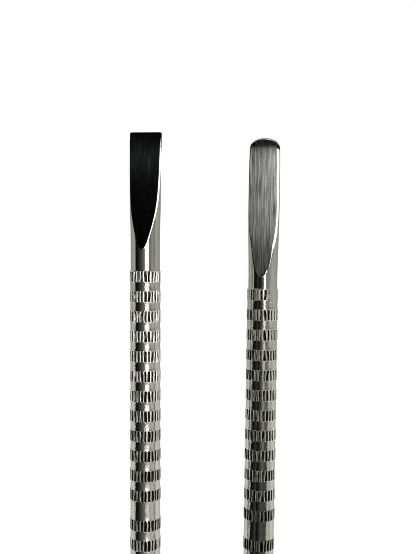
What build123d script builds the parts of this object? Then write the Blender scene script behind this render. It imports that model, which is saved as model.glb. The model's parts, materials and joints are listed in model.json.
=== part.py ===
from build123d import *
from math import cos, radians, sin
import os

# Double-ended cuticle pusher: a slim steel bar with a banded straight knurl,
# a square-ended pusher blade on one end and a round-ended one on the other.
# Millimetres. The tool lies along X with both working faces up (+Z) and the
# square end towards -X. The origin is on its axis, at the middle of the wide
# plain stretch where it is held.

os.makedirs("parts", exist_ok=True)

# ---------------------------------------------------------------- dimensions
# Knurled handle bar
rod_radius = 2.50            # plain stock between the knurled bands
crest_radius = 2.59          # knurl crests, raised above the stock
root_radius = 2.38           # bottom of the knurl grooves
tooth_count = 26             # ridges round the bar
crest_half_angle = 3.3       # degrees, half the flat top of one ridge
band_length = 1.90           # one knurled band, along the bar
band_pitch = 3.30            # from one band to the next
bands_per_side = 12          # bands on each side of the wide middle gap
middle_gap = 3.05            # the wide plain stretch at the tool's middle
band_chamfer = 0.10          # 45 degree edge at both ends of every band
band_seat_radius = 2.00      # inside of a band, where it is one with the bar

# Sockets in the handle's ends and the tangs that sit in them
socket_radius = 1.50
socket_depth = 10.0
tang_radius = 1.49
tang_length = 9.6            # leaves a small air space at the socket's end
tang_chamfer = 0.30

# Square-ended pusher
square_length = 23.30        # tip to the handle's end
square_neck_radius = 2.44
square_face_length = 19.80   # tip to where the blade's shape begins
square_tip_half_width = 2.70
square_corner_radius = 0.30  # the two corners of the tip, seen from above

# Round-ended pusher
round_length = 25.25
round_neck_radius = 2.40
round_face_length = 23.80
round_end_reach = 1.90       # half axes of the elliptical end, seen from above
round_end_half_width = 2.60

# Cutting shapes
wide = 3.0                   # wider than any blade, for outlines seen from above
overshoot = 5.0              # how far cutting shapes pass the tool

# Blades before their faces are ground. Each cross-section is an ellipse:
# distance from the tip, half width, half thickness, height of its middle.
square_sections = [
    (square_face_length, square_neck_radius, square_neck_radius, 0.0),
    (13.00, 2.58, 2.42, 0.0),
    (5.30, 2.64, 1.95, -0.15),
    (0.00, square_tip_half_width, 0.87, -0.87),
]
round_sections = [
    (round_face_length, round_neck_radius, round_neck_radius, 0.0),
    (16.10, 2.55, 2.38, 0.0),
    (8.50, 2.58, 1.85, -0.25),
    (0.00, 2.52, 0.85, -0.62),
]

# Ground faces from the side: distance from the tip, height above the axis.
# The square one is almost flat; the round one dips and levels off like a spoon.
square_face = [(20.15, 2.50), (14.00, 1.50), (5.30, 0.02), (-0.50, -0.97)]
round_face = [(24.40, 2.52), (20.50, 2.09), (16.90, 1.36), (13.30, 0.38), (9.00, -0.30), (-0.50, -0.60)]

# --------------------------------------------------------- derived positions
knurl_group = (bands_per_side - 1) * band_pitch + band_length
handle_length = 2 * knurl_group + middle_gap
handle_start_x = -handle_length / 2
handle_end_x = handle_length / 2
square_tip_x = handle_start_x - square_length
round_tip_x = handle_end_x + round_length

# Starts of the knurled bands, first one side of the middle and then the other
band_starts = []
for group_start in (handle_start_x, handle_start_x + knurl_group + middle_gap):
    for band in range(bands_per_side):
        band_starts.append(group_start + band * band_pitch)


def cross_plane(x):
    """Plane across the tool at x: its own X is world Y, its own Y is world Z."""
    return Plane(origin=(x, 0, 0), x_dir=(0, 1, 0), z_dir=(1, 0, 0))


def polar(radius, degrees):
    """Point of a cross-section, measured round the tool's axis."""
    return (radius * cos(radians(degrees)), radius * sin(radians(degrees)))


def knurl_outline():
    """Closed outline of the knurl: flat-topped ridges with V grooves between."""
    step = 360 / tooth_count
    points = []
    for tooth in range(tooth_count):
        ridge_middle = (tooth + 0.5) * step
        points.append(polar(crest_radius, ridge_middle - crest_half_angle))
        points.append(polar(crest_radius, ridge_middle + crest_half_angle))
        points.append(polar(root_radius, ridge_middle + step / 2))
    return points


def bar_outline():
    """Half outline of the bar from the side: plain rings between the bands, and both sockets."""
    points = [(handle_start_x, socket_radius)]
    for start in band_starts:
        points.append((start, root_radius))
        points.append((start + band_length, root_radius))
        if start != band_starts[-1]:
            next_start = band_starts[band_starts.index(start) + 1]
            points.append((start + band_length, rod_radius))
            points.append((next_start, rod_radius))
    points.append((handle_end_x, socket_radius))
    points.append((handle_end_x - socket_depth, socket_radius))
    points.append((handle_end_x - socket_depth, 0))
    points.append((handle_start_x + socket_depth, 0))
    points.append((handle_start_x + socket_depth, socket_radius))
    return points


def blank_section(x, half_width, half_thickness, middle):
    """Elliptical cross-section of a blade's blank, its middle at a height above the axis."""
    with BuildSketch(cross_plane(x)) as section:
        with Locations((0, middle)):
            Ellipse(half_width, half_thickness)
    return section.sketch


def above_face(tip_x, inward, face):
    """Side view of the metal that grinding takes away. inward is +1 or -1 along X."""
    points = [(tip_x + inward * distance, height) for distance, height in face]
    with BuildSketch(Plane.XZ.offset(-wide)) as removed:
        with BuildLine():
            Spline(*points)
            Polyline(points[-1], (points[-1][0], overshoot), (points[0][0], overshoot), points[0])
        make_face()
    return removed.sketch


# -------------------------------------------------------------------- handle
# One knurled band, at the origin, lying along X
with BuildPart() as knurl_band:
    with BuildSketch(Plane.YZ):
        Polygon(*knurl_outline(), align=None)
        Circle(band_seat_radius, mode=Mode.SUBTRACT)
    extrude(amount=band_length)
    with BuildSketch(Plane.XZ):
        Polygon(
            (0, 0),
            (0, crest_radius - band_chamfer),
            (band_chamfer, crest_radius),
            (band_length - band_chamfer, crest_radius),
            (band_length, crest_radius - band_chamfer),
            (band_length, 0),
            align=None,
        )
    revolve(axis=Axis.X, mode=Mode.INTERSECT)

with BuildPart() as handle:
    with BuildSketch(Plane.XZ):
        Polygon(*bar_outline(), align=None)
    revolve(axis=Axis.X)
    with Locations(*[(start, 0, 0) for start in band_starts]):
        add(knurl_band.part)

handle.part.label = "handle"
export_step(handle.part, "parts/handle.step")

# ------------------------------------------------------------- square pusher
with BuildPart() as square_pusher:
    for distance, half_width, half_thickness, middle in square_sections:
        add(blank_section(square_tip_x + distance, half_width, half_thickness, middle))
    loft()
    add(above_face(square_tip_x, 1, square_face))
    extrude(amount=2 * wide, dir=(0, -1, 0), mode=Mode.SUBTRACT)
    # Outline of the tip from above, with its two small corners
    with BuildSketch(Plane.XY):
        with Locations((square_tip_x, 0)):
            Rectangle(square_length, 2 * square_tip_half_width, align=(Align.MIN, Align.CENTER))
        tip_corners = vertices().group_by(Axis.X)[0]
        fillet(tip_corners, square_corner_radius)
    extrude(amount=overshoot, both=True, mode=Mode.INTERSECT)
    # Neck, and the tang that fills the handle's socket
    with BuildSketch(cross_plane(handle_start_x)):
        Circle(square_neck_radius)
    extrude(amount=square_face_length - square_length)
    with BuildSketch(cross_plane(handle_start_x)):
        Circle(tang_radius)
    extrude(amount=tang_length)
    tang_end = faces().sort_by(Axis.X)[-1]
    chamfer(tang_end.edges(), tang_chamfer)

square_pusher.part.label = "square_pusher"
export_step(square_pusher.part, "parts/square_pusher.step")

# -------------------------------------------------------------- round pusher
with BuildPart() as round_pusher:
    for distance, half_width, half_thickness, middle in round_sections:
        add(blank_section(round_tip_x - distance, half_width, half_thickness, middle))
    loft()
    add(above_face(round_tip_x, -1, round_face))
    extrude(amount=2 * wide, dir=(0, -1, 0), mode=Mode.SUBTRACT)
    # Outline of the tip from above: a half ellipse
    with BuildSketch(Plane.XY):
        with Locations((round_tip_x - round_end_reach, 0)):
            Ellipse(round_end_reach, round_end_half_width)
            Rectangle(round_length, 2 * wide, align=(Align.MAX, Align.CENTER))
    extrude(amount=overshoot, both=True, mode=Mode.INTERSECT)
    # Neck, and the tang that fills the handle's socket
    with BuildSketch(cross_plane(handle_end_x)):
        Circle(round_neck_radius)
    extrude(amount=round_length - round_face_length)
    with BuildSketch(cross_plane(handle_end_x)):
        Circle(tang_radius)
    extrude(amount=-tang_length)
    tang_end = faces().sort_by(Axis.X)[0]
    chamfer(tang_end.edges(), tang_chamfer)

round_pusher.part.label = "round_pusher"
export_step(round_pusher.part, "parts/round_pusher.step")
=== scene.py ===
import json
import math

import bmesh
import bpy
from mathutils import Matrix, Vector, noise


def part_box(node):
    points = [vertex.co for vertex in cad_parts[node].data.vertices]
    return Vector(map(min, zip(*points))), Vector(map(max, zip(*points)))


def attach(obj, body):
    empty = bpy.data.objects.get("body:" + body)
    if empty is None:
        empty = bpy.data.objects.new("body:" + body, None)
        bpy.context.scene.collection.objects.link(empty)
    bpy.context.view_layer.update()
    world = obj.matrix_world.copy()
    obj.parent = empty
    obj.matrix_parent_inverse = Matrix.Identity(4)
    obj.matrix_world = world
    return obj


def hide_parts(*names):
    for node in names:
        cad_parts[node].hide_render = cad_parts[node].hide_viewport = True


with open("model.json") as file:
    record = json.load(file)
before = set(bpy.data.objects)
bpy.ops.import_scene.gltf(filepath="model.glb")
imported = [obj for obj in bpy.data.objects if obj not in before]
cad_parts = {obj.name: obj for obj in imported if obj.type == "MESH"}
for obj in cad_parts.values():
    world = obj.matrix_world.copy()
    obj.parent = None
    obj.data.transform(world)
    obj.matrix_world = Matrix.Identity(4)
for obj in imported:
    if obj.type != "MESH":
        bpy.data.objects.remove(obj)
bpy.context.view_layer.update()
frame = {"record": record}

# ------------------------------------------------------------------ the frame
# Everything is in metres. Lengths below are written in millimetres times MM.
MM = 0.001
rod_radius = frame["record"]["mounts"][0]["dims"]["r_mm"] * MM
handle_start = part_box("handle")[0].x
handle_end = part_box("handle")[1].x
square_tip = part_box("square_pusher")[0].x
round_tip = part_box("round_pusher")[1].x
floor_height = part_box("handle")[0].z

# Knurled handle
tooth_count = 26
samples_per_tooth = 14       # mesh columns over one ridge and its groove
crest_radius = 2.59 * MM
root_radius = 2.37 * MM
band_edge_radius = 2.525 * MM    # at a band's ends, where the ridges run out
band_length = 1.90 * MM
band_pitch = 3.30 * MM
bands_per_side = 12
last_band = 2 * bands_per_side - 1

# Sockets in the handle's ends, and the tangs in them
socket_radius = 1.50 * MM
socket_depth = 10.0 * MM
socket_break = 0.02 * MM     # broken edge at a socket's mouth
closing_radius = 0.02 * MM   # last ring of the mesh at a socket's bottom
tang_radius = 1.49 * MM
tang_length = 9.6 * MM
tang_chamfer = 0.30 * MM


# -------------------------------------------------------------------- helpers
def mix(a, b, share):
    return a + (b - a) * share


def smooth_step(low, high, value):
    """0 below low, 1 above high, and a smooth rise between them."""
    share = min(max((value - low) / (high - low), 0.0), 1.0)
    return share * share * (3 - 2 * share)


def smooth_curve(points):
    """A function through a few (position, value) points, with no overshoot between them."""
    points = sorted(points)
    slopes = []
    for (x0, y0), (x1, y1) in zip(points, points[1:]):
        slopes.append((y1 - y0) / (x1 - x0))
    tangents = [slopes[0]]
    for before, after in zip(slopes, slopes[1:]):
        if before * after <= 0:
            tangents.append(0.0)
        else:
            tangents.append(2 * before * after / (before + after))
    tangents.append(slopes[-1])

    def value_at(x):
        if x <= points[0][0]:
            return points[0][1]
        if x >= points[-1][0]:
            return points[-1][1]
        span = 0
        while x > points[span + 1][0]:
            span += 1
        (x0, y0), (x1, y1) = points[span], points[span + 1]
        width = x1 - x0
        t = (x - x0) / width
        return (
            (2 * t ** 3 - 3 * t ** 2 + 1) * y0
            + (t ** 3 - 2 * t ** 2 + t) * width * tangents[span]
            + (3 * t ** 2 - 2 * t ** 3) * y1
            + (t ** 3 - t ** 2) * width * tangents[span + 1]
        )

    return value_at


def object_from_bmesh(name, shape, materials, sharp_angle):
    """Makes a smooth-shaded object of a bmesh, with creases sharper than an angle in degrees kept."""
    bmesh.ops.remove_doubles(shape, verts=shape.verts, dist=1e-7)
    bmesh.ops.dissolve_degenerate(shape, edges=shape.edges, dist=1e-8)
    bmesh.ops.recalc_face_normals(shape, faces=shape.faces)
    mesh = bpy.data.meshes.new(name)
    shape.to_mesh(mesh)
    shape.free()
    for material in materials:
        mesh.materials.append(material)
    mesh.polygons.foreach_set("use_smooth", [True] * len(mesh.polygons))
    mesh.set_sharp_from_angle(angle=math.radians(sharp_angle))
    obj = bpy.data.objects.new(name, mesh)
    bpy.context.scene.collection.objects.link(obj)
    return obj


# ------------------------------------------------------------------ materials
class Nodes:
    """Short ways to make and join the nodes of one node tree."""

    def __init__(self, tree):
        self.tree = tree
        tree.nodes.clear()

    def make(self, kind, **inputs):
        node = self.tree.nodes.new(kind)
        for name, value in inputs.items():
            socket = node.inputs[name.replace("_", " ")]
            if isinstance(value, bpy.types.NodeSocket):
                self.tree.links.new(value, socket)
            else:
                socket.default_value = value
        return node

    def link(self, output, socket):
        self.tree.links.new(output, socket)

    def math(self, operation, *values):
        node = self.tree.nodes.new("ShaderNodeMath")
        node.operation = operation
        for socket, value in zip(node.inputs, values):
            if isinstance(value, bpy.types.NodeSocket):
                self.tree.links.new(value, socket)
            else:
                socket.default_value = value
        return node.outputs[0]

    def ramp(self, value, stops):
        """A grey value for a value, through (position, grey) stops."""
        node = self.tree.nodes.new("ShaderNodeValToRGB")
        elements = node.color_ramp.elements
        while len(elements) < len(stops):
            elements.new(0.5)
        for element, (position, grey) in zip(elements, stops):
            element.position = position
            element.color = (grey, grey, grey, 1)
        self.tree.links.new(value, node.inputs[0])
        return node.outputs[0]

    def range(self, value, from_low, from_high, to_low, to_high):
        """The value carried over from one range to another, and held at its ends."""
        limits = {"From Min": from_low, "From Max": from_high, "To Min": to_low, "To Max": to_high}
        node = self.make("ShaderNodeMapRange", Value=value)
        for name, number in limits.items():
            node.inputs[name].default_value = number
        return node.outputs[0]

    def window(self, value, low_from, low_to, high_from, high_to):
        """1 inside a range, falling softly to 0 outside it."""
        rise = self.range(value, low_from, low_to, 0.0, 1.0)
        fall = self.range(value, high_from, high_to, 1.0, 0.0)
        return self.math("MULTIPLY", rise, fall)

    def scaled(self, colour, factor):
        """A colour times a factor that a socket gives."""
        node = self.tree.nodes.new("ShaderNodeVectorMath")
        node.operation = "SCALE"
        node.inputs[0].default_value = colour
        self.tree.links.new(factor, node.inputs["Scale"])
        return node.outputs[0]

    def stretched_noise(self, scale, detail):
        """Noise in the piece's own millimetres, with its own scale along each axis."""
        place = self.make("ShaderNodeTexCoord")
        per_metre = [each / MM for each in scale]
        mapping = self.make("ShaderNodeMapping", Vector=place.outputs["Object"], Scale=per_metre)
        texture = self.make("ShaderNodeTexNoise", Vector=mapping.outputs[0], Scale=1.0, Detail=detail)
        texture.inputs["Roughness"].default_value = 0.55
        return texture.outputs["Fac"]


def new_material(name):
    """A new material and the short ways to make its nodes."""
    material = bpy.data.materials.new(name)
    material.use_nodes = True
    return material, Nodes(material.node_tree)


def steel(name, colour, roughness, spread, streaks, pits, knurl=False, flat=False):
    """Steel with fine lines along the tool and small uneven spots.

    streaks is (lines per millimetre across, depth in millimetres, contrast), pits is
    (spots per millimetre, depth in millimetres). knurl paints shade into the bottoms of the grooves
    and a highlight onto the crests, as far as the mesh's paint attribute says: painted shade and
    dulling above 0, painted highlight below it. flat keeps the lines
    straight along a face that rises and falls.
    """
    material, n = new_material(name)
    fineness, line_depth, contrast = streaks
    spots, spot_depth = pits
    wide = 0.42 * fineness
    upright = 0.0 if flat else 1.0
    lines = n.stretched_noise((0.22, fineness, upright * fineness), 4.0)
    wide_lines = n.stretched_noise((0.12, wide, upright * wide), 3.0)
    patches = n.stretched_noise((0.25, 0.9, 0.9), 3.0)
    speckle = n.stretched_noise((spots, spots, spots), 3.0)

    shade = n.range(patches, 0.3, 0.7, 0.94, 1.05)
    for streak, change in ((lines, 1.5 * contrast), (wide_lines, 0.8 * contrast)):
        shade = n.math("MULTIPLY", shade, n.range(streak, 0.3, 0.7, 1 - change, 1 + change))
    if knurl:
        painted = n.tree.nodes.new("ShaderNodeAttribute")
        painted.attribute_name = "painted_shade_and_dulling"
        # Painted shade in the groove bottoms, and dulling, where the paint is above 0
        painted_shade_and_dulling = n.range(painted.outputs["Fac"], 0.08, 0.72, 0.0, 0.96)
        shade = n.math("MULTIPLY", shade, n.math("SUBTRACT", 1.0, painted_shade_and_dulling))
        # Painted highlight: where the paint is below 0 the crests are up to 2.8 times as bright as plain
        # steel
        shade = n.math("MULTIPLY", shade, n.range(painted.outputs["Fac"], -2.0, 0.0, 2.8, 1.0))

    rough = n.math("ADD", n.range(patches, 0.3, 0.7, -spread, spread), roughness)
    rough = n.math("ADD", rough, n.range(speckle, 0.55, 0.8, 0.0, spread))
    pitted = n.make("ShaderNodeBump", Height=speckle, Strength=1.0, Distance=spot_depth * MM)
    lined = n.make("ShaderNodeBump", Height=lines, Strength=1.0, Distance=line_depth * MM)
    n.link(pitted.outputs[0], lined.inputs["Normal"])
    shader = n.make(
        "ShaderNodeBsdfPrincipled",
        Base_Color=n.scaled(colour, shade),
        Metallic=1.0,
        Roughness=rough,
        Specular_Tint=(0.55, 0.55, 0.55, 1.0),
        Normal=lined.outputs[0],
    )
    n.make("ShaderNodeOutputMaterial", Surface=shader.outputs[0])
    return material


warm = (0.41, 0.41, 0.37)
green_grey = (0.30, 0.36, 0.335)
pale_grey = (0.40, 0.41, 0.39)
fine_lines = (9.0, 0.0010, 0.03)
polished = steel("polished_steel", warm, 0.10, 0.04, fine_lines, (2.5, 0.0015))
knurled = steel("knurled_steel", warm, 0.10, 0.04, fine_lines, (3.0, 0.030), knurl=True)
fine_ground = steel("fine_ground_steel", green_grey, 0.09, 0.01, (5.0, 0.002, 0.40), (2.0, 0.0005), flat=True)
brushed = steel("brushed_steel", pale_grey, 0.28, 0.05, (7.0, 0.006, 0.55), (1.2, 0.001), flat=True)


# --------------------------------------------------------------------- handle
def band_surface(along, angle, band):
    """Radius and paint of the knurl, at a distance from a band's start and an angle round the bar.

    The paint is the painted shade and dulling there, less the painted highlight: how much brighter than plain
    steel the crest is painted.
    """
    from_end = min(along, band_length - along)
    wander = 0.25 * noise.noise((band * 3.1, along / MM * 0.8, angle * 4.0))
    turns = angle / (2 * math.pi) * tooth_count + wander
    tooth = math.floor(turns)
    off_middle = abs(turns - tooth - 0.5)
    tooth_noise = 1.7 * noise.noise((tooth * 7.3, band * 5.9, 0.5))
    nick = noise.noise((tooth * 3.7, band * 8.1, along / MM * 2.2))

    # A rounded crest, then a smooth fall into the groove, which runs out at the band's ends
    fall = smooth_step(0.08 + 0.08 * tooth_noise, 0.50, off_middle)
    groove_run = smooth_step(0.0, 0.19 * MM, from_end + 0.04 * MM * tooth_noise)
    bottom = mix(band_edge_radius, root_radius + 0.03 * MM * tooth_noise, groove_run)
    crest = crest_radius + 0.008 * MM * tooth_noise + 0.010 * MM * min(nick, 0.0)
    top = mix(band_edge_radius, crest, smooth_step(-0.02 * MM, 0.16 * MM, from_end))

    # Painted shade darkens the groove bottoms, most in the bands near the middle. Crests are dull,
    # darker and with less painted highlight, just before the middle and a little beyond it. Bands
    # 13 to 21 are a little darker too, with less painted highlight
    towards_end = abs(band - bands_per_side + 0.5) / bands_per_side
    dull = 0.85 * smooth_step(2, 11, band) * (1 - smooth_step(11.8, 13.9, band))
    far_side = smooth_step(12, 14, band) * smooth_step(23.5, 20.5, band)
    groove_shade = fall * groove_run * mix(1.0, 0.74, towards_end) * (1 + 0.9 * nick)
    painted_shade_and_dulling = groove_shade + 0.30 * dull + 0.08 * far_side

    # Painted highlight on the crests, strongest near the square end, and a weaker painted glint where the
    # ridges run out
    brightness = mix(1.6, 1.0, smooth_step(0, 8, band)) - 0.45 * far_side
    crest_highlight = smooth_step(0.30, 0.0, fall) * (1 + nick) * brightness
    run_out_glint = 0.7 * smooth_step(0.20 * MM, 0.04 * MM, from_end) * (1 - 0.6 * fall)
    painted_highlight = max(crest_highlight, run_out_glint) * (1 - dull)
    return mix(top, bottom, fall), painted_shade_and_dulling - painted_highlight


def band_fade(band, angle):
    """How far grinding the round blade has worn the outermost band there: 0 is whole."""
    if band != last_band:
        return 0.0
    turned = math.degrees(angle)
    deep = smooth_step(92, 116, turned) * (1 - smooth_step(150, 168, turned))
    slight = smooth_step(0, 12, turned) * (1 - smooth_step(40, 58, turned))
    return max(0.85 * deep, 0.55 * slight)


def handle_stations():
    """(x, band, distance) along the whole bar.

    distance is from the band's start. On the plain stretches band is None, and distance is
    from the nearest band.
    """
    near_end = [value * MM for value in (0, 0.03, 0.07, 0.12, 0.18, 0.26, 0.36, 0.6, 0.95)]
    into_band = near_end + [band_length - value for value in reversed(near_end[:-1])]
    into_gap = (0.03, 0.10, 0.18, 0.3, 0.5, 0.7, 0.82, 0.90, 0.97)
    group_length = (bands_per_side - 1) * band_pitch + band_length
    middle_gap = handle_end - handle_start - 2 * group_length
    stations = []
    start = handle_start
    for band in range(last_band + 1):
        for value in into_band:
            stations.append((start + value, band, value))
        gap = band_pitch - band_length
        if band == bands_per_side - 1:
            gap = middle_gap
        if band < last_band:
            for share in into_gap:
                stations.append((start + band_length + gap * share, None, min(share, 1 - share) * gap))
        start += band_length + gap
    return stations


def make_handle():
    """The bar in one closed mesh: down the one socket, along the outside, and up the other socket."""
    shape = bmesh.new()
    around = tooth_count * samples_per_tooth
    # The paint: painted shade and dulling above 0, painted highlight below 0
    painted = shape.verts.layers.float.new("painted_shade_and_dulling")

    def ring(x, surface_at):
        made = []
        for step in range(around):
            angle = 2 * math.pi * step / around
            radius, paint = surface_at(angle)
            corner = shape.verts.new((x, radius * math.cos(angle), radius * math.sin(angle)))
            corner[painted] = paint
            made.append(corner)
        return made

    def fixed(radius):
        return lambda angle: (radius, 0.0)

    def plain(distance):
        fillet = 0.030 * MM * (1 - smooth_step(0.0, 0.34 * MM, distance))
        return fixed(rod_radius + fillet)

    def knurl(band, distance):
        def surface_at(angle):
            radius, paint = band_surface(distance, angle, band)
            fade = band_fade(band, angle)
            return mix(radius, rod_radius + 0.012 * MM, fade), paint * (1 - fade)

        return surface_at

    def socket(mouth, inward):
        """Rings of one socket from its bottom to its mouth. inward is +1 or -1 along X."""
        bottom = mouth + inward * socket_depth
        return [
            ring(bottom, fixed(closing_radius)),
            ring(bottom, fixed(socket_radius)),
            ring(mouth + inward * socket_break, fixed(socket_radius)),
            ring(mouth, fixed(socket_radius + socket_break)),
        ]

    rings = socket(handle_start, 1)
    for x, band, distance in handle_stations():
        rings.append(ring(x, plain(distance) if band is None else knurl(band, distance)))
    rings.extend(reversed(socket(handle_end, -1)))
    for one, other in zip(rings, rings[1:]):
        for step in range(around):
            after = (step + 1) % around
            shape.faces.new((one[step], one[after], other[after], other[step]))
    shape.faces.new(rings[0])
    shape.faces.new(list(reversed(rings[-1])))
    return object_from_bmesh("handle_bar", shape, [knurled], 50)


# --------------------------------------------------------------------- blades
class Blade:
    """One pusher, swept from cross-sections. All of its numbers but tip_x are in millimetres.

    Its curves, from width to face, go by the distance from the tip: half width, half thickness
    and middle of the blank, and height of the ground face. twist is in degrees round the axis.
    rims are the broken edge's (width, slope, curve) on either side and in front. dish is how
    far the face sags in its middle.
    """

    face_steps = 10              # points over the face, over its broken edge and over the back
    rim_steps = 4
    back_steps = 30
    face_sections = 64           # cross-sections along the face

    def __init__(self, tip_x, inward, length, neck, width, thickness, middle, face, rims, twist, dish):
        self.tip_x = tip_x
        self.inward = inward
        self.length = length
        self.neck = neck
        self.width = smooth_curve(width)
        self.thickness = smooth_curve(thickness)
        self.middle = smooth_curve(middle)
        self.face = smooth_curve(face)
        self.rims = rims
        self.twist = smooth_curve(twist)
        self.dish = dish
        self.face_end = self.find_face_end()

    def find_face_end(self):
        """Where the face comes out at the top of the blank: the heel."""
        low, high = 0.5 * self.length, self.length
        while high - low > 1e-4:
            distance = (low + high) / 2
            if self.face(distance) > self.middle(distance) + self.thickness(distance):
                high = distance
            else:
                low = distance
        return low

    def rim(self, side, frontness):
        """Width, slope and curve of the broken edge: the side's own, or the tip's where frontness is 1."""
        return [mix(own, front, frontness) for own, front in zip(self.rims[side], self.rims["front"])]

    def half_section(self, start, edge, power, side, frontness=0.0):
        """Points from the top middle to the bottom middle, above a line seen from above.

        start and edge are (distance from the tip, sideways): the line's inner end and the outline.
        side is 1 or -1: towards +Y or -Y, before the twist.
        """
        reach = math.dist(start, edge)
        at_edge = edge[0]
        middle, thickness = self.middle(at_edge), self.thickness(at_edge)
        points = []

        def place(share, height):
            return (mix(start[0], edge[0], share), mix(start[1], edge[1], share), height)

        def side_share(height):
            across = min(abs(height - middle) / thickness, 1.0)
            return (1 - across ** power) ** (1 / power)

        if at_edge < self.face_end:
            face = self.face(at_edge)
            full = side_share(face) * reach
            rim_width, rim_slope, rim_curve = self.rim(side, frontness)
            rim = rim_width * smooth_step(-0.6, 2.4, self.face_end - at_edge)
            rim = min(rim, 0.4 * full)
            flank_top = face - rim * rim_slope
            outer = side_share(flank_top)
            inner = outer - rim / reach
            for step in range(self.face_steps + 1):
                share = inner * step / self.face_steps
                distance = mix(start[0], edge[0], share)
                sag = self.dish * (1 - (step / self.face_steps) ** 2)
                points.append(place(share, self.face(distance) - sag))
            face = points[-1][2]
            for step in range(1, self.rim_steps + 1):
                t = step / self.rim_steps
                points.append(place(mix(inner, outer, t), mix(face, flank_top, t ** rim_curve)))
        else:
            flank_top = middle + thickness
            for step in range(self.face_steps + self.rim_steps + 1):
                points.append(place(0.0, flank_top))
        across = (flank_top - middle) / thickness
        across = min(max(across, -1.0), 1.0)
        first = math.asin(math.copysign(abs(across) ** (power / 2), across))
        for step in range(1, self.back_steps + 1):
            angle = mix(first, -math.pi / 2, step / self.back_steps)
            share = abs(math.cos(angle)) ** (2 / power)
            if step == self.back_steps:
                share = 0.0
            distance = mix(start[0], edge[0], share)
            lift = math.copysign(abs(math.sin(angle)) ** (2 / power), math.sin(angle))
            points.append(place(share, self.middle(distance) + self.thickness(distance) * lift))
        return points

    def ring(self, distance, radius):
        """Half of a round cross-section, as many points as a half section."""
        lead = self.face_steps + self.rim_steps + 1
        points = [(distance, 0.0, radius)] * lead
        for step in range(1, self.back_steps + 1):
            angle = math.pi / 2 - math.pi * step / self.back_steps
            points.append((distance, radius * math.cos(angle), radius * math.sin(angle)))
        return points

    def side_sections(self, nearest, side):
        """Sections from the socket end to the last one before the tip's own outline."""
        tang = tang_length / MM
        bevel = tang_chamfer / MM
        shaft = tang_radius / MM
        sections = [
            self.ring(self.length + tang, 0.0),
            self.ring(self.length + tang, shaft - bevel),
            self.ring(self.length + tang - bevel, shaft),
            self.ring(self.length, shaft),
            self.ring(self.length, self.neck - 0.04),
            self.ring(self.length - 0.04, self.neck),
        ]
        distance = self.length - 0.6
        while distance > self.face_end + 0.3:
            sections.append(self.half_section((distance, 0.0), (distance, self.width(distance)), 2, side))
            distance -= 0.45
        span = self.face_end - nearest
        for step in range(self.face_sections + 1):
            distance = self.face_end - span * (step / self.face_sections) ** 1.7
            sections.append(self.half_section((distance, 0.0), (distance, self.width(distance)), 2, side))
        return sections

    def build(self, name, end_sections, materials):
        """Sweeps the half sections into one closed mesh. Its ground face takes the second material."""
        shape = bmesh.new()
        for side in (1, -1):
            nearest, tip = end_sections(side)
            rows = []
            for section in self.side_sections(nearest, side) + tip:
                row = []
                for distance, sideways, height in section:
                    x = self.tip_x + self.inward * distance * MM
                    turn = Matrix.Rotation(math.radians(self.twist(distance)), 3, "X")
                    row.append(shape.verts.new(turn @ Vector((x, side * sideways * MM, height * MM))))
                rows.append(row)
            for one, other in zip(rows, rows[1:]):
                for step in range(len(one) - 1):
                    corners = [one[step], one[step + 1], other[step + 1], other[step]]
                    face = shape.faces.new(corners)
                    middle_x = sum(corner.co.x for corner in corners) / 4
                    on_face = step < self.face_steps
                    if on_face and abs(middle_x - self.tip_x) < self.face_end * MM:
                        face.material_index = 1
        return object_from_bmesh(name, shape, materials, 32)


square = Blade(
    tip_x=square_tip,
    inward=1,
    length=(handle_start - square_tip) / MM,
    neck=2.44,
    width=[(0, 2.70), (1.8, 2.70), (4.8, 2.64), (12.7, 2.585), (16.7, 2.47), (19.8, 2.44), (23.3, 2.44)],
    thickness=[(0, 0.87), (5.3, 1.95), (13.0, 2.42), (19.8, 2.44), (23.3, 2.44)],
    middle=[(0, -0.87), (5.3, -0.15), (13.0, 0.0), (23.3, 0.0)],
    face=[(0, -0.88), (5.3, 0.02), (14.0, 1.50), (16.0, 1.88), (17.7, 2.19), (19.7, 2.44), (23.3, 2.8)],
    rims={1: (0.28, 0.27, 1.35), -1: (0.16, 0.27, 1.35), "front": (0.12, 0.3, 1.35)},
    twist=[(0, 0.0), (9, 0.0), (15, 5.0), (19, 6.5), (23.3, 6.5)],
    dish=0.0,
)
rounded = Blade(
    tip_x=round_tip,
    inward=-1,
    length=(round_tip - handle_end) / MM,
    neck=2.40,
    width=[(0, 2.50), (2.6, 2.55), (8.5, 2.60), (16.1, 2.55), (19.7, 2.46), (23.8, 2.40), (25.25, 2.40)],
    thickness=[(0, 0.50), (8.5, 1.85), (16.1, 2.38), (23.8, 2.40), (25.25, 2.40)],
    middle=[(0, -1.00), (8.5, -0.25), (16.1, 0.0), (25.25, 0.0)],
    face=[
        (0, -1.00),
        (0.8, -0.74),
        (1.7, -0.57),
        (3.0, -0.49),
        (9.0, -0.30),
        (13.3, 0.38),
        (16.9, 1.36),
        (18.3, 1.65),
        (20.3, 1.93),
        (22.0, 2.17),
        (23.2, 2.38),
        (25.25, 2.75),
    ],
    rims={1: (0.12, 0.27, 1.35), -1: (0.50, 0.27, 1.35), "front": (0.30, 0.6, 1.35)},
    twist=[(0, -3.4), (12, -3.8), (17, -7.0), (20.5, -10.5), (25.25, -11.0)],
    dish=0.03,
)


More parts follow.
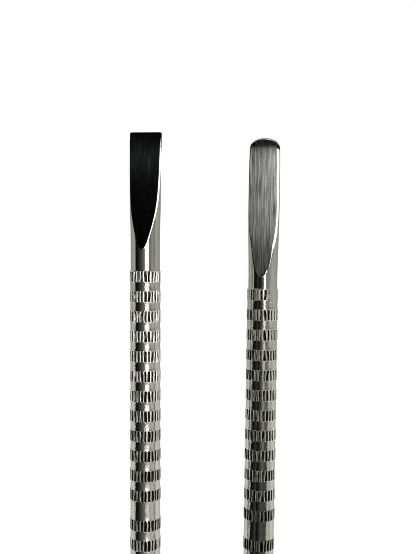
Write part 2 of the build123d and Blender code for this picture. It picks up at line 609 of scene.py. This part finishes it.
def square_end_sections(side):
    """Round the square tip, from its side to the middle of its front edge."""
    centre = 2.4
    corner = 0.30
    corner_steps = 8
    half_width = square.width(0)
    outline = [(distance, half_width) for distance in (2.2, 1.6, 1.0, 0.6)]
    for step in range(corner_steps + 1):
        angle = math.pi / 2 * step / corner_steps
        distance = corner - corner * math.sin(angle)
        outline.append((distance, half_width - corner + corner * math.cos(angle)))
    for share in (0.85, 0.65, 0.45, 0.25, 0.12, 0.0):
        outline.append((0.0, (half_width - corner) * share))
    sections = []
    for edge in outline:
        power = mix(2.0, 5.0, smooth_step(2.2, 0.3, edge[0]))
        frontness = smooth_step(2.2, 0.2, edge[0])
        sections.append(square.half_section((centre, 0.0), edge, power, side, frontness))
    return centre, sections


def round_end_sections(side):
    """Round the spoon-shaped tip, from its side to the middle of its end."""
    reach = 1.9
    steps = 44
    half_width = rounded.width(reach)
    sections = []
    for step in range(1, steps + 1):
        angle = math.pi / 2 * step / steps
        edge = (reach - reach * math.sin(angle), half_width * math.cos(angle))
        power = mix(2.0, 2.6, math.sin(angle))
        frontness = smooth_step(0.1, 0.75, math.sin(angle))
        sections.append(rounded.half_section((reach, 0.0), edge, power, side, frontness))
    return reach, sections


handle_bar = make_handle()
square_blade = square.build("square_blade", square_end_sections, [polished, fine_ground])
round_blade = rounded.build("round_blade", round_end_sections, [polished, brushed])
for piece, node, slot in (
    (handle_bar, "handle", "polished_steel"),
    (square_blade, "square_pusher", "ground_steel"),
    (round_blade, "round_pusher", "ground_steel"),
):
    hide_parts(node)
    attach(piece, "root")


# ---------------------------------------------------------------------- stage
def make_copy_beside():
    """The same tool once more, turned end for end, so that both of its ends show together.

    It is scenery: only the tool at the origin is the object.
    """
    tip = Vector((-62.0 * MM, 19.96 * MM, 0.0))
    lean = math.radians(0.81)
    roll = math.radians(1.0)
    turned = Matrix.Rotation(math.pi - lean, 4, "Z") @ Matrix.Rotation(roll, 4, "X")
    for piece in (handle_bar, square_blade, round_blade):
        again = bpy.data.objects.new("beside_" + piece.name, piece.data)
        bpy.context.scene.collection.objects.link(again)
        again.matrix_world = Matrix.Translation(tip - turned @ Vector((round_tip, 0, 0))) @ turned
        again.visible_glossy = False


def make_floor():
    """A wide, pale light table under the tool."""
    reach = 3.0
    shape = bmesh.new()
    corners = [(-reach, -reach), (reach, -reach), (reach, reach), (-reach, reach)]
    shape.faces.new([shape.verts.new((x, y, 0)) for x, y in corners])
    material, n = new_material("light_table")
    glow = n.make("ShaderNodeEmission", Color=(1, 1, 1, 1), Strength=0.96)
    plain = n.make("ShaderNodeBsdfDiffuse", Color=(0.16, 0.16, 0.16, 1))
    both = n.make("ShaderNodeAddShader")
    n.link(glow.outputs[0], both.inputs[0])
    n.link(plain.outputs[0], both.inputs[1])
    n.make("ShaderNodeOutputMaterial", Surface=both.outputs[0])
    material.cycles.emission_sampling = "NONE"
    floor = object_from_bmesh("floor", shape, [material], 30)
    floor.location.z = floor_height


make_copy_beside()
make_floor()

# ---------------------------------------------------------------------- light
light_colour = (1.0, 0.995, 0.97)
brightest = 4.2

# How bright the light tent is, by the angle from straight up, across the tool towards +Y.
# The bright panel is between 11 and 30 degrees.
tent_levels = [
    (-180, 0.80),
    (-78, 0.80),
    (-77, 0.0),
    (-50, 0.02),
    (-32, 0.08),
    (-20, 0.15),
    (-7, 0.24),
    (0, 0.42),
    (6, 0.90),
    (11, brightest),
    (30, brightest),
    (35, 0.5),
    (42, 0.28),
    (48, 0.32),
    (60, 0.70),
    (80, 0.70),
    (88, 0.40),
    (94, 0.55),
    (110, 0.80),
    (180, 0.80),
]


def make_light_tent():
    """A soft light tent as the world. Seen straight by the camera it is white."""
    world = bpy.data.worlds.new("light_tent")
    world.use_nodes = True
    bpy.context.scene.world = world
    n = Nodes(world.node_tree)
    place = n.make("ShaderNodeTexCoord")
    direction = n.make("ShaderNodeSeparateXYZ", Vector=place.outputs["Generated"])

    def lean_towards(axis):
        """Angle of the direction from straight up towards +X or +Y, in degrees."""
        lean = n.math("ARCTAN2", direction.outputs[axis], direction.outputs[2])
        return n.math("MULTIPLY", lean, 180 / math.pi)

    def times(*factors):
        product = factors[0]
        for factor in factors[1:]:
            product = n.math("MULTIPLY", product, factor)
        return product

    def without(value):
        return n.math("SUBTRACT", 1.0, value)

    def by_angle(angle, reach, stops):
        """A level by an angle, through stops from -reach at 0 to +reach at 1."""
        return n.ramp(n.range(angle, -reach, reach, 0.0, 1.0), stops)

    across = lean_towards("Y")
    along = lean_towards("X")
    stops = [((angle + 180) / 360, level / brightest) for angle, level in tent_levels]
    glow = by_angle(across, 180, stops)

    # Towards -X the middle of the roof is dark, and farther out the walls are too
    roof = n.window(across, -66, -60, 2, 6)
    roof_levels = [(0.0, 1.0), (0.12, 1.0), (0.16, 0.0), (0.24, 0.0), (0.31, 0.6), (0.38, 1.0)]
    open_roof = by_angle(along, 90, roof_levels)
    roof_shade = without(times(roof, without(open_roof)))
    far_end = times(n.window(along, -68, -64, -44, -38), n.window(across, -66, -60, 44, 52))
    shade = times(roof_shade, without(far_end))

    # Towards +X the bright panel fades and what is beside it grows brighter
    panel = n.window(across, -4, 6, 32, 40)
    losses = [(0.0, 0.0), (0.54, 0.10), (0.57, 0.50), (0.59, 0.70), (0.61, 0.78), (1.0, 0.80)]
    fading = by_angle(along, 90, losses)
    ridge = n.range(n.window(across, 2, 20, 22, 40), 0.0, 1.0, 1.10, 0.95)
    beside = times(n.window(across, 28, 32, 50, 58), n.range(along, 2, 16, 0.0, 1.5))
    panel_fade = times(without(times(panel, fading, ridge)), n.math("ADD", beside, 1.0))

    # The walls are brighter towards +X
    roof_and_panel = n.window(across, -76, -75, 50, 60)
    walls = without(roof_and_panel)
    wall_level = by_angle(along, 20, [(0.0, 0.55), (0.5, 0.66), (0.75, 0.95), (1.0, 1.0)])
    wall_gain = n.math("ADD", times(walls, wall_level, 1.35), without(walls))

    level = times(glow, times(shade, times(panel_fade, wall_gain)))
    tent = n.make("ShaderNodeBackground", Color=n.scaled(light_colour, level), Strength=brightest)
    backdrop = n.make("ShaderNodeBackground", Color=(1, 1, 1, 1), Strength=1.0)
    rays = n.make("ShaderNodeLightPath")
    seen = n.make("ShaderNodeMixShader", Fac=rays.outputs["Is Camera Ray"])
    n.link(tent.outputs[0], seen.inputs[1])
    n.link(backdrop.outputs[0], seen.inputs[2])
    n.make("ShaderNodeOutputWorld", Surface=seen.outputs[0])
    world.cycles.sampling_method = "NONE"


def make_reflector(name, corner, opposite, height, level, sideways=None):
    """A level card that only reflections see, from one corner to the other, in millimetres.

    level is how bright it is, or a list of (x in millimetres, brightness) along it.
    sideways is a list of (y in millimetres, times as bright) across it.
    """
    (x0, y0), (x1, y1) = corner, opposite
    shape = bmesh.new()
    spots = [(x0, y0), (x1, y0), (x1, y1), (x0, y1)]
    shape.faces.new([shape.verts.new((x * MM, y * MM, height * MM)) for x, y in spots])
    material, n = new_material(name)
    glow = n.make("ShaderNodeEmission", Color=(*light_colour, 1))
    place = n.make("ShaderNodeTexCoord")
    apart = n.make("ShaderNodeSeparateXYZ", Vector=place.outputs["Object"])

    def graded(position, levels):
        low, high = levels[0][0], levels[-1][0]
        top = max(value for spot, value in levels)
        share = n.range(position, low * MM, high * MM, 0.0, 1.0)
        grey = n.ramp(share, [((spot - low) / (high - low), value / top) for spot, value in levels])
        return n.math("MULTIPLY", grey, top)

    if isinstance(level, list):
        strength = graded(apart.outputs[0], level)
        if sideways:
            strength = n.math("MULTIPLY", strength, graded(apart.outputs[1], sideways))
        n.link(strength, glow.inputs["Strength"])
    else:
        glow.inputs["Strength"].default_value = level
    n.make("ShaderNodeOutputMaterial", Surface=glow.outputs[0])
    material.cycles.emission_sampling = "NONE"
    card = object_from_bmesh(name, shape, [material], 30)
    card.visible_camera = False
    card.visible_diffuse = False
    card.visible_shadow = False


def make_reflectors():
    """Cards for what the photo's steel mirrors: dark over the square face, grey over the round one."""
    # Over the square face
    streak = [(-100, 0.0), (-79, 0.008), (-74, 0.04), (-68, 0.008), (-47, 0.0)]
    edge_glow = [(-100, 0.0), (-83, 0.0), (-78, 0.10), (-73, 0.06), (-68, 0.01), (-47, 0.0)]
    make_reflector("card_square_face", (-100, -30), (-47, 4.2), 30, streak)
    make_reflector("card_square_glow", (-100, 4.2), (-47, 6), 30, edge_glow)
    make_reflector("card_square_tip", (-100, 6), (-77, 24), 30, 0.0)

    # Over the round face of the copy beside it: the left and the right half, the tip and the heel
    left = [(-68, 0.40), (-61, 0.42), (-58, 0.46), (-56, 0.46), (-54.4, 0.36), (-53, 0.30), (-49, 0.22)]
    right = [(-68, 0.70), (-61, 0.90), (-58, 0.95), (-56, 0.80), (-54.4, 0.40), (-53, 0.24), (-49, 0.13)]
    make_reflector("card_round_face_low", (-68, 11.5), (-49, 19.5), 12, left)
    make_reflector("card_round_face_high", (-68, 19.5), (-49, 24.5), 12, right)
    make_reflector("card_round_tip", (-76, 13.0), (-62, 27.0), 5.5, 0.0)
    heel = [(-49, 0.4), (-45, 0.2), (-40.5, 0.12)]
    make_reflector("card_round_heel", (-49, 16.5), (-40.5, 22.2), 5.5, heel)

    # On the table, under both tools
    table = [(-90, 0.75), (-40, 0.75), (-34, 0.82), (-17, 1.2), (-4, 1.3), (90, 1.35)]
    make_reflector("card_table", (-90, -80), (90, 100), -2.45, table)

    # Low over the copy's handle, where they darken what its top mirrors towards +X
    rising = [(16.9, 0.2), (17.9, 0.5), (18.7, 1.5), (19.4, 4.0), (20.1, 6.0)]
    left = [(-40.5, 0.04), (-27, 0.06), (-4, 0.03), (90, 0.03)]
    middle = [(-34, 2.2), (-27, 1.4), (-18, 0.6), (-10, 0.35), (-4, 0.12), (90, 0.10)]
    right = [(-40.5, 0.50), (-22, 0.32), (-10, 0.12), (90, 0.10)]
    make_reflector("card_beside_left", (-40.5, 16.9), (90, 20.1), 5.5, left, rising)
    make_reflector("card_beside_middle", (-34, 20.1), (90, 21.3), 5.5, middle)
    make_reflector("card_beside_right", (-40.5, 21.3), (90, 24.8), 5.5, right)


make_light_tent()
make_reflectors()
bpy.context.scene.view_settings.view_transform = "Standard"
bpy.context.scene.cycles.filter_width = 1.0


# --------------------------------------------------------------------- camera
def make_camera():
    """Almost straight down on the middle of the picture, so that both shafts run out of its lower edge."""
    place = Vector((-40.5, 16.3, 127.4)) * MM
    looked_at = Vector((-38.7, 10.5, 0.0)) * MM
    up_the_picture = Vector((-0.9999, -0.0014, -0.0138))
    camera_data = bpy.data.cameras.new("camera")
    camera_data.lens = 49.7
    camera_data.sensor_width = 36
    camera_data.sensor_fit = "AUTO"
    camera_data.clip_start = 0.005
    camera_data.clip_end = 10
    camera = bpy.data.objects.new("camera", camera_data)
    bpy.context.scene.collection.objects.link(camera)
    backwards = (place - looked_at).normalized()
    sideways = up_the_picture.cross(backwards).normalized()
    upwards = backwards.cross(sideways)
    axes = Matrix((sideways, upwards, backwards)).transposed().to_4x4()
    camera.matrix_world = Matrix.Translation(place) @ axes
    bpy.context.scene.camera = camera


make_camera()
